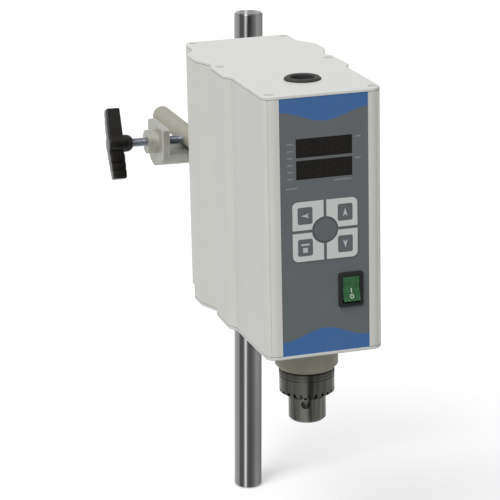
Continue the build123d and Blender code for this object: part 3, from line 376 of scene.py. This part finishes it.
glossyBase = {"wave": 0.06, "waveShare": 0.05}
glossyLooks = {
    "darkWindow": {"colour": (0.0105, 0.0098, 0.0080), "second": (0.013, 0.0115, 0.0095), "waveSize": 0.008,
                   "roughness": 0.16, "shine": 0.08},
    "greenRocker": {"colour": (0.030, 0.110, 0.045), "second": (0.050, 0.150, 0.065), "waveSize": 0.003,
                    "roughness": 0.26, "shine": 0.12},
}


def makeGlossy(name, look):
    # Smooth plastic in two close colours, with faint waves from its mould
    look = {**glossyBase, **look}
    material, tree, shader = startMaterial(name)
    wave = noiseNode(tree, objectPoint(tree), look["waveSize"], 2.0)
    body = mixColour(tree, rampValue(tree, wave, tightNoise), look["colour"], look["second"])
    tree.links.new(body, shader.inputs["Base Color"])
    roughnessFrom(tree, shader, wave, look["roughness"], 0.03, 0.04)
    shader.inputs["Specular IOR Level"].default_value = look["shine"]
    bumpFrom(tree, shader, wave, look["wave"], look["waveSize"] * look["waveShare"])
    return material


finishes = {"rodChrome": makePolishedRod("rodChrome", rodLook),
            "panelFilm": makePanelFilm("panelFilm", filmLook)}
for make, looks in ((makePaint, paintLooks), (makeMetal, metalLooks), (makeTurnedMetal, turnedLooks),
                    (makeGlossy, glossyLooks)):
    for name, look in looks.items():
        finishes[name] = make(name, look)

# Every CAD node gets one of the finishes
finishOf = {
    "casePaint": ("case",),
    "coverPaint": ("top_cover", "bottom_cover"),
    "castPaint": ("bearing_housing", "arm_flange", "support_arm"),
    "blastedCasting": ("clamp_body",),
    "blackMoulding": ("switch_body", "key_switches", "display_modules", "mains_inlet"),
    "knobMoulding": ("arm_clamp_knob", "rod_clamp_knob"),
    "rubberBlack": ("shaft_hole_ring", "drive_belt"),
    "keyFilm": ("left_key", "up_key", "start_stop_key", "down_key"),
    "modeFilm": ("mode_key",),
    "motorPaint": ("motor_can",),
    "boardMask": ("control_board", "power_board"),
    "ironCore": ("transformer",),
    "plainSteel": ("top_cover_screws", "bottom_cover_screws", "bearing_housing_screws", "retaining_rings",
                   "drive_plate_screws", "arm_flange_screws", "arm_nut"),
    "groundSteel": ("bearing_outer_rings", "bearing_inner_rings", "spindle", "drive_plate_posts",
                    "motor_shaft", "arm_backing_plate"),
    "zincSteel": ("arm_clamp_pad", "arm_clamp_screw", "rod_clamp_pad", "rod_clamp_screw"),
    "brightAluminium": ("spindle_pulley", "motor_pulley", "drive_plate", "motor_end_bell"),
    "plainBrass": ("control_board_spacers", "power_board_spacers", "mains_inlet_pins"),
    "rodChrome": ("stand_rod",),
    "sleeveSteel": ("chuck_sleeve",),
    "chuckSteel": ("chuck_body", "chuck_nut", "chuck_jaw_1", "chuck_jaw_2", "chuck_jaw_3"),
    "panelFilm": ("front_panel",),
    "darkWindow": ("upper_display_window", "lower_display_window"),
    "greenRocker": ("switch_rocker",),
}
for finish, members in finishOf.items():
    for member in members:
        nodes[member].data.materials.clear()
        nodes[member].data.materials.append(finishes[finish])
bare = set(nodes) - {member for members in finishOf.values() for member in members}
print("finishes on", len(nodes) - len(bare), "nodes, none on", sorted(bare))


# Pieces

def meshPiece(name, points, faces, material, body, smooth=True):
    # Points are rows of x, y and z, and faces are rows of point numbers: an array, or a list where the rows
    # differ in length. The object sits at the origin, with its place in its mesh, and rides on one body
    mesh = bpy.data.meshes.new(name)
    mesh.from_pydata(points.tolist(), [], faces if isinstance(faces, list) else faces.tolist())
    mesh.validate()
    mesh.polygons.foreach_set("use_smooth", np.full(len(mesh.polygons), smooth))
    mesh.materials.append(material)
    piece = bpy.data.objects.new(name, mesh)
    bpy.context.scene.collection.objects.link(piece)
    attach(piece, body)
    return piece


def gridFaces(rows, columns, closedRows=False, closedColumns=False):
    # Quads between neighbours of a rows by columns grid; a closed side joins its last line to its first
    row = np.arange(rows if closedRows else rows - 1)
    column = np.arange(columns if closedColumns else columns - 1)
    r, c = np.meshgrid(row, column, indexing="ij")
    nextRow, nextColumn = (r + 1) % rows, (c + 1) % columns
    return np.stack((r * columns + c, r * columns + nextColumn, nextRow * columns + nextColumn,
                     nextRow * columns + c), axis=-1).reshape(-1, 4)


def flatPrint(name, outline, level, material, body):
    # One face inside a flat outline in x and z, at one depth. Run anticlockwise, it faces the front
    outline = np.asarray(outline)
    points = np.column_stack((outline[:, 0], np.full(len(outline), level), outline[:, 1]))
    meshPiece(name, points, np.arange(len(points))[None, :], material, body, smooth=False)


def roundedBox(width, height, corner, steps=6):
    # Quarter circles at the four corners, joined by straight sides, anticlockwise
    turn = np.linspace(0, pi / 2, steps)
    corners = []
    for start, sx, sz in ((0, 1, 1), (pi / 2, -1, 1), (pi, -1, -1), (3 * pi / 2, 1, -1)):
        corners.append(np.column_stack((sx * (width / 2 - corner) + corner * np.cos(turn + start),
                                        sz * (height / 2 - corner) + corner * np.sin(turn + start))))
    return np.concatenate(corners)


def nodeCentre(node):
    low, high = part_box(node)
    return (Vector(low) + Vector(high)) / 2


# A turn of None is the key with the run and halt marks; each mark is its shift up, its width and its height
keyPrint = {"square": 0.0093, "tall": 0.0104, "corner": 0.0012, "across": 0.01255, "up": 0.00975,
            "arrow": 0.0050, "notch": 0.45, "tail": 0.30, "bar": (0.0018, 0.0052, 0.0011),
            "box": (-0.0016, 0.0030, 0.0030), "markCorner": 0.0002, "grain": 0.05, "pale": (0.56, 0.59, 0.60),
            "turns": {"left_key": 90.0, "up_key": 0.0, "start_stop_key": None, "down_key": 180.0}}


def arrowHead(look, turn):
    # A triangle with a hollow back, pointing up before its turn
    size = look["arrow"]
    head = np.array(((0, size / 2), (-size * look["tail"], -size / 2),
                     (0, -size / 2 + size * look["notch"] / 2), (size * look["tail"], -size / 2)))
    angle = radians(turn)
    spin = np.array(((cos(angle), -sin(angle)), (sin(angle), cos(angle))))
    return head @ spin.T


def makeKeyPrints(look):
    # A dark square on each corner key, set out evenly from the middle key, and a pale symbol on the square
    printed = makePaint("keyPrint", {**paintLooks["modeFilm"], "grain": look["grain"]})
    pale = makePaint("keySymbol", {**paintLooks["keyFilm"], "colour": look["pale"]})
    middle = nodeCentre("mode_key")
    for key, turn in look["turns"].items():
        sideways = 1 if nodeCentre(key)[0] > 0 else -1
        upwards = 1 if nodeCentre(key)[2] > middle[2] else -1
        x, z = sideways * look["across"], middle[2] + upwards * look["up"]
        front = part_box(key)[0][1] - printLift
        square = roundedBox(look["square"], look["tall"], look["corner"]) + (x, z)
        flatPrint(key + "_square", square, front, printed, key)
        front -= printLift
        if turn is not None:
            flatPrint(key + "_arrow", arrowHead(look, turn) + (x, z), front, pale, key)
            continue
        for mark in ("bar", "box"):
            shift, width, height = look[mark]
            outline = roundedBox(width, height, look["markCorner"]) + (x, z + shift)
            flatPrint(f"{key}_mark_{mark}", outline, front, pale, key)


captions = {
    "left": {"x": -0.0213, "width": 0.0034, "rows": 6, "top": 0.1322, "step": -0.0042},
    "right": {"x": 0.0212, "width": 0.0036, "rows": 2, "top": 0.1338, "step": -0.0130},
    "lowLeft": {"x": -0.0205, "width": 0.0070, "rows": 1, "top": 0.1055, "step": 0.0},
    "lowRight": {"x": 0.0115, "width": 0.0110, "rows": 1, "top": 0.1085, "step": 0.0},
}
captionStroke = {"height": 0.0007, "corner": 0.0002, "colour": (0.30, 0.32, 0.325)}


def makeCaptions(groups, stroke):
    # Short pale strokes in rows beside and below the windows
    pale = makePaint("captionPrint", {**paintLooks["keyFilm"], "colour": stroke["colour"]})
    front = panelFront - printLift
    for side, rows in groups.items():
        outline = roundedBox(rows["width"], stroke["height"], stroke["corner"])
        for row in range(rows["rows"]):
            centre = (rows["x"], rows["top"] + rows["step"] * row)
            flatPrint(f"caption_{side}_{row}", outline + centre, front, pale, "head")


digitLook = {"height": 0.0078, "width": 0.0043, "bar": 0.0009, "gap": 0.0003, "lean": 0.10, "count": 4,
             "step": 0.0074, "colour": (0.016, 0.0145, 0.0125), "second": (0.019, 0.017, 0.0145)}


def barOutline(start, end, look):
    # A six-sided bar between two ends, pointed at both, short of them by the gap; anticlockwise
    along = (end - start) / np.linalg.norm(end - start)
    across = np.array((-along[1], along[0])) * look["bar"] / 2
    a = start + along * look["gap"]
    b = end - along * look["gap"]
    shoulder = along * look["bar"] / 2
    return np.array((a, a + shoulder - across, b - shoulder - across, b, b - shoulder + across,
                     a + shoulder + across))


def makeDigits(look):
    # Unlit seven-bar figures, barely lighter than the window under them, leaning by lean * height
    unlit = makeGlossy("unlitBar", {**glossyLooks["darkWindow"], "colour": look["colour"],
                                    "second": look["second"]})
    half, tall = look["width"] / 2, look["height"] / 2
    bars = (((-half, tall), (half, tall)), ((-half, 0), (half, 0)), ((-half, -tall), (half, -tall)),
            ((-half, 0), (-half, tall)), ((half, 0), (half, tall)), ((-half, -tall), (-half, 0)),
            ((half, -tall), (half, 0)))
    for window in ("upper_display_window", "lower_display_window"):
        centre = nodeCentre(window)
        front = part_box(window)[0][1] - printLift
        outlines = []
        for place in range(look["count"]):
            middle = (place - (look["count"] - 1) / 2) * look["step"]
            for start, end in bars:
                outlines.append(barOutline(np.array(start), np.array(end), look) + (middle, 0))
        corners = len(outlines[0])
        points = np.concatenate(outlines)
        points[:, 0] += points[:, 1] * look["lean"] + centre[0]
        points[:, 1] += centre[2]
        placed = np.column_stack((points[:, 0], np.full(len(points), front), points[:, 1]))
        faces = np.arange(len(points)).reshape(-1, corners)
        meshPiece(window + "_digits", placed, faces, unlit, "head", smooth=False)


rockerMarks = {"down": 0.0046, "ring": 0.00125, "ringWidth": 0.00042, "around": 32, "barUp": 0.0012,
               "barHeight": 0.0024, "barWidth": 0.0005, "barCorner": 0.0001, "colour": (0.75, 0.78, 0.76)}


def rockerFace(x, z):
    # How far forward the rocker's face is at each place, felt from 20 mm in front of the panel
    mesh = nodes["switch_rocker"].data
    skin = BVHTree.FromPolygons([corner.co for corner in mesh.vertices],
                                [face.vertices for face in mesh.polygons])
    away, start = Vector((0, 1, 0)), panelFront - 20 * millimetre
    hits = [skin.ray_cast(Vector((px, start, pz)), away)[0] for px, pz in zip(x, z)]
    return np.array([hit[1] for hit in hits])


def makeRockerMarks(look):
    # A ring between two circles and a bar over it, both laid on the rocker's curved face
    white = makePaint("rockerMark", {**paintLooks["keyFilm"], "colour": look["colour"]})
    centre = nodeCentre("switch_rocker")
    turn = np.linspace(0, 2 * pi, look["around"], endpoint=False)
    low = centre[2] - look["down"]
    rings = []
    for radius in (look["ring"], look["ring"] - look["ringWidth"]):
        x, z = centre[0] + radius * np.cos(turn), low + radius * np.sin(turn)
        rings.append(np.column_stack((x, rockerFace(x, z) - printLift, z)))
    faces = gridFaces(2, len(turn), closedColumns=True)[:, ::-1]
    meshPiece("rocker_ring", np.concatenate(rings), faces, white, "switch_rocker")
    bar = roundedBox(look["barWidth"], look["barHeight"], look["barCorner"])
    x, z = (bar + (centre[0], centre[2] - look["barUp"])).T
    placed = np.column_stack((x, rockerFace(x, z) - printLift, z))
    meshPiece("rocker_bar", placed, np.arange(len(bar))[None, :], white, "switch_rocker")


def vee(value):
    # 1 at each whole number, down in a straight line to 0 half way between two
    return np.abs(2 * (value % 1) - 1)


knurl = {"low": -0.0234, "high": -0.0200, "base": 0.01702, "rise": 0.00030, "sunk": 0.0008,
         "runOut": 0.3 * millimetre, "diamonds": 76, "rows": 28, "columns": 912}


def makeKnurl(look):
    # r = base + rise * the lower of two triangle waves, one winding each way: a net of small pyramids. A ring
    # sunk into the sleeve joins the first row to the last
    turn = np.linspace(0, 2 * pi, look["columns"], endpoint=False)
    height = np.linspace(look["low"], look["high"], look["rows"])
    t, z = np.meshgrid(turn, height)
    cells = look["diamonds"] * t / (2 * pi)
    pitch = 2 * pi * look["base"] / look["diamonds"]
    slide = (z - look["low"]) / pitch
    lift = np.minimum(1 - vee(cells + slide), 1 - vee(cells - slide))
    fade = np.clip(np.minimum(z - look["low"], look["high"] - z) / look["runOut"], 0, 1)
    r = look["base"] + look["rise"] * lift * fade
    inner = look["base"] - look["sunk"]
    below, above = (np.column_stack((inner * np.cos(turn), inner * np.sin(turn), np.full(len(turn), level)))
                    for level in (look["low"], look["high"]))
    net = np.stack((r * np.cos(t), r * np.sin(t), z), axis=-1).reshape(-1, 3)
    faces = gridFaces(look["rows"] + 2, look["columns"], closedRows=True, closedColumns=True)
    meshPiece("knurl_band", np.concatenate((below, net, above)), faces, finishes["knurlSteel"],
              "chuck_sleeve", smooth=False)


thread = {"pitch": 0.0010, "depth": 0.00055, "around": 48, "perPitch": 8, "end": 0.0006}


def makeThread(name, node, body, look):
    # r = crest - depth * a triangle wave of (distance / pitch - turn), fading to the core at both ends
    low, high = (Vector(corner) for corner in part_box(node))
    lean = radians(rodLook["lean"])
    along = Vector((cos(lean), 0, -sin(lean)))
    across = Vector((0, 1, 0))
    up = along.cross(across)
    crest = (high[1] - low[1]) / 2
    length = (high[0] - low[0] - 2 * crest * sin(lean)) / cos(lean)
    rows = int(length / look["pitch"] * look["perPitch"])
    distance = np.linspace(0, length, rows)
    turn = np.linspace(0, 2 * pi, look["around"], endpoint=False)
    s, t = np.meshgrid(distance, turn, indexing="ij")
    wave = vee(s / look["pitch"] - t / (2 * pi))
    fade = np.clip(np.minimum(s, length - s) / look["end"], 0, 1)
    r = crest - look["depth"] * (wave * fade + (1 - fade))
    start = np.array((low + high) / 2 - along * length / 2)
    points = (start + s[..., None] * np.array(along) + (r * np.cos(t))[..., None] * np.array(across)
              + (r * np.sin(t))[..., None] * np.array(up)).reshape(-1, 3)
    # The two last points are the middles of the ends
    first = len(points)
    points = np.concatenate((points, (start, start + length * np.array(along))))
    around = np.arange(look["around"])
    following = (around + 1) % look["around"]
    lastRow = (rows - 1) * look["around"]
    lowMiddle, highMiddle = np.full(len(around), first), np.full(len(around), first + 1)
    faces = gridFaces(rows, look["around"], closedColumns=True)[:, ::-1].tolist()
    faces += np.column_stack((around, following, lowMiddle)).tolist()
    faces += np.column_stack((lastRow + following, lastRow + around, highMiddle)).tolist()
    piece = meshPiece(name, points, faces, finishes["zincSteel"], body, smooth=False)
    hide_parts(node)


# axis is where the line of the screws crosses the arm's, and rodShift is from there to the stand rod. head is
# how far a knob sits from the arm or the rod. A dome's points are its radius and its reach along the screw
clampPlace = {"axis": (0.0, 0.2472, 0.0694), "head": -0.0435, "rodShift": 0.042}
knobShape = {"half": 0.0250, "inner": -0.0068, "thick": 0.0105, "bow": 0.0009, "hub": 0.0066, "neck": 0.0041,
             "hollow": 1.35, "tip": 0.0034, "grip": 0.0050, "gripDepth": 0.0014, "gripStart": 0.0082,
             "gripStep": 0.0056, "gripSteps": 3, "edge": 0.0011, "leastSides": 2.1, "stations": 121,
             "endStations": 7, "domeAround": 48, "sharpAngle": 35,
             "dome": ((0.0032, 0.0), (0.0042, -0.0002), (0.0052, -0.0012), (0.0060, -0.0030),
                      (0.0062, -0.0052), (0.0062, -0.0100))}
knobTurns = {"arm": -22.0, "rod": 60.0}


def knobWings(look):
    # Along the wings w runs from -half to half. Each section is a box with rounded corners, as wide as two
    # flanks: plain(w) = the hub's circle or a hollow taper, grip(w) = the hub's circle or a stepped taper.
    # The far ends draw in by edge - sqrt(edge^2 - rest^2), and the outer face bows by bow * (w / half)^2
    half, edge = look["half"], look["edge"]
    along = np.concatenate((np.linspace(-half, -half + edge, look["endStations"])[:-1],
                            np.linspace(-half + edge, half - edge, look["stations"]),
                            np.linspace(half - edge, half, look["endStations"])[1:]))
    away = np.abs(along)
    share = away / half
    circle = np.sqrt(np.clip(look["hub"] ** 2 - away ** 2, 0, None))
    plain = np.maximum(circle, look["neck"] * look["hollow"] * (1 - share) + look["tip"] * share)
    steps = (away - look["gripStart"]) / look["gripStep"]
    tooth = np.where(steps < 0, 1.0, np.clip(steps, 0, None) % 1)
    notch = look["gripDepth"] * np.clip(tooth, 0, 1) ** 3 * (steps < look["gripSteps"])
    grip = np.maximum(circle, look["grip"] - notch)
    rest = np.clip(away - (half - edge), 0, edge)
    inset = edge - np.sqrt(np.clip(edge ** 2 - rest ** 2, 0, None))
    outer = look["inner"] - look["thick"] + look["bow"] * share ** 2 + inset
    inner = look["inner"] - inset
    front = np.where(along > 0, plain, grip) - inset
    rear = np.where(along > 0, grip, plain) - inset
    sections = []
    for u0, u1, v0, v1, w in zip(outer, inner, -front, rear, along):
        width, height = u1 - u0, v1 - v0
        rim = roundedBox(width, height, min(edge, width / look["leastSides"], height / look["leastSides"]))
        sections.append(np.column_stack((rim[:, 0] + (u0 + u1) / 2, rim[:, 1] + (v0 + v1) / 2,
                                         np.full(len(rim), w))))
    count = len(sections[0])
    last = (len(sections) - 1) * count
    faces = gridFaces(len(sections), count, closedColumns=True).tolist()
    faces += [list(range(count))[::-1], list(range(last, last + count))]
    return np.concatenate(sections), faces


def knobDome(look, first):
    # The dome round the screw: its profile turned about the screw's axis. Its points are numbered from first
    turn = np.linspace(0, 2 * pi, look["domeAround"], endpoint=False)
    radius, reach = np.array(look["dome"]).T
    r, t = np.meshgrid(radius, turn, indexing="ij")
    u = np.repeat(reach[:, None], look["domeAround"], axis=1)
    points = np.stack((u, r * np.cos(t), r * np.sin(t)), axis=-1).reshape(-1, 3)
    faces = (gridFaces(len(radius), look["domeAround"], closedColumns=True)[:, ::-1] + first).tolist()
    faces.append(list(range(first, first + look["domeAround"])))
    return points, faces


def makeKnob(name, node, body, onRodSide, turn, look):
    # Wings and dome, turned about the screw and put on its end
    wings, faces = knobWings(look)
    dome, domeFaces = knobDome(look, len(wings))
    place = Matrix.Translation(clampPlace["axis"]) @ Matrix.Rotation(radians(rodLook["lean"]), 4, "Y")
    if onRodSide:
        place = place @ Matrix.Translation((clampPlace["rodShift"], 0, 0)) @ Matrix.Rotation(pi, 4, "Z")
    place = place @ Matrix.Translation((clampPlace["head"], 0, 0)) @ Matrix.Rotation(radians(turn), 4, "X")
    matrix = np.array(place)
    points = np.concatenate((wings, dome)) @ matrix[:3, :3].T + matrix[:3, 3]
    piece = meshPiece(name, points, faces + domeFaces, finishes["knobMoulding"], body)
    piece.data.set_sharp_from_angle(angle=radians(look["sharpAngle"]))
    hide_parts(node)


makeKnob("arm_knob_dressed", "arm_clamp_knob", "arm_screw", False, knobTurns["arm"], knobShape)
makeKnob("rod_knob_dressed", "rod_clamp_knob", "rod_screw", True, knobTurns["rod"], knobShape)
makeKeyPrints(keyPrint)
makeCaptions(captions, captionStroke)
makeDigits(digitLook)
makeRockerMarks(rockerMarks)
makeKnurl(knurl)
makeThread("arm_screw_thread", "arm_clamp_screw", "arm_screw", thread)
makeThread("rod_screw_thread", "rod_clamp_screw", "rod_screw", thread)
print("pieces made")


# Studio

view = {"place": (-0.4384, -1.3042, 0.4622), "aim": (-0.0417, -0.0214, 0.0659), "roll": -1.235, "lens": 169.2,
        "sensor": 36.0, "nearest": 0.05, "farthest": 60.0}


def makeCamera(look):
    # At its place, looking at the aim, and rolled about that line by so many degrees
    lens = bpy.data.cameras.new("camera")
    lens.lens = look["lens"]
    lens.sensor_width = look["sensor"]
    lens.clip_start, lens.clip_end = look["nearest"], look["farthest"]
    camera = bpy.data.objects.new("camera", lens)
    bpy.context.scene.collection.objects.link(camera)
    sight = Vector(look["aim"]) - Vector(look["place"])
    turn = sight.to_track_quat("-Z", "Y").to_matrix() @ Matrix.Rotation(radians(look["roll"]), 3, "Z")
    camera.matrix_world = Matrix.Translation(look["place"]) @ turn.to_4x4()
    bpy.context.scene.camera = camera


keyLamp = {"from": (-0.478, -0.449, 0.753), "strength": 2.04, "softness": 40.0}


def makeLamp(name, look):
    # Even light from one direction, as soft as a sky patch of so many degrees
    light = bpy.data.lights.new(name, "SUN")
    light.energy = look["strength"]
    light.angle = radians(look["softness"])
    lamp = bpy.data.objects.new(name, light)
    bpy.context.scene.collection.objects.link(lamp)
    lamp.matrix_world = Vector(look["from"]).to_track_quat("Z", "Y").to_matrix().to_4x4()


def seenRays(tree):
    # 1 for camera, mirror and see-through rays, so that metal and glass show the backdrop too
    path = tree.nodes.new("ShaderNodeLightPath")
    seen = mathNode(tree, "MAXIMUM", path.outputs["Is Camera Ray"], path.outputs["Is Glossy Ray"])
    return mathNode(tree, "MAXIMUM", seen, path.outputs["Is Transmission Ray"])


surround = {"colour": (1, 1, 1), "light": 0.395, "seen": 1.0}


def makeWorld(look):
    # White all round, and dimmer where it only lights the object
    world = bpy.data.worlds.new("studio")
    world.use_nodes = True
    tree = world.node_tree
    tree.nodes.clear()
    output = tree.nodes.new("ShaderNodeOutputWorld")
    background = tree.nodes.new("ShaderNodeBackground")
    background.inputs["Color"].default_value = (*look["colour"], 1)
    strength = rampValue(tree, seenRays(tree), (0, 1), (look["light"], look["seen"]))
    tree.links.new(strength, background.inputs["Strength"])
    tree.links.new(background.outputs[0], output.inputs["Surface"])
    bpy.context.scene.world = world


floorLook = {"drop": 0.0005, "half": 15.0, "colour": (0.86, 0.86, 0.86), "bounce": (0.40, 0.40, 0.39),
             "lift": 0.36, "grainSize": 0.002, "grainShade": 0.995}


def makeFloor(look):
    # White paper just under the object, with a little glow that lights nothing: only the seen rays meet it
    level = cadBox[0][2] - look["drop"]
    half = look["half"]
    points = [(-half, -half, level), (half, -half, level), (half, half, level), (-half, half, level)]
    mesh = bpy.data.meshes.new("floor")
    mesh.from_pydata(points, [], [(0, 1, 2, 3)])
    material = bpy.data.materials.new("floorPaper")
    material.use_nodes = True
    tree = material.node_tree
    tree.nodes.clear()
    output = tree.nodes.new("ShaderNodeOutputMaterial")
    paper = tree.nodes.new("ShaderNodeBsdfDiffuse")
    grain = noiseNode(tree, objectPoint(tree), look["grainSize"], 2.0)
    body = mixColour(tree, grain, shade(look["colour"], look["grainShade"]), look["colour"])
    body = mixColour(tree, seenRays(tree), look["bounce"], body)
    tree.links.new(body, paper.inputs["Color"])
    glow = tree.nodes.new("ShaderNodeEmission")
    tree.links.new(mathNode(tree, "MULTIPLY", seenRays(tree), look["lift"]), glow.inputs["Strength"])
    both = tree.nodes.new("ShaderNodeAddShader")
    tree.links.new(paper.outputs[0], both.inputs[0])
    tree.links.new(glow.outputs[0], both.inputs[1])
    tree.links.new(both.outputs[0], output.inputs["Surface"])
    mesh.materials.append(material)
    floor = bpy.data.objects.new("floor", mesh)
    bpy.context.scene.collection.objects.link(floor)


makeCamera(view)
makeLamp("key", keyLamp)
makeWorld(surround)
makeFloor(floorLook)
bpy.context.scene.view_settings.view_transform = "Standard"
print("studio ready")
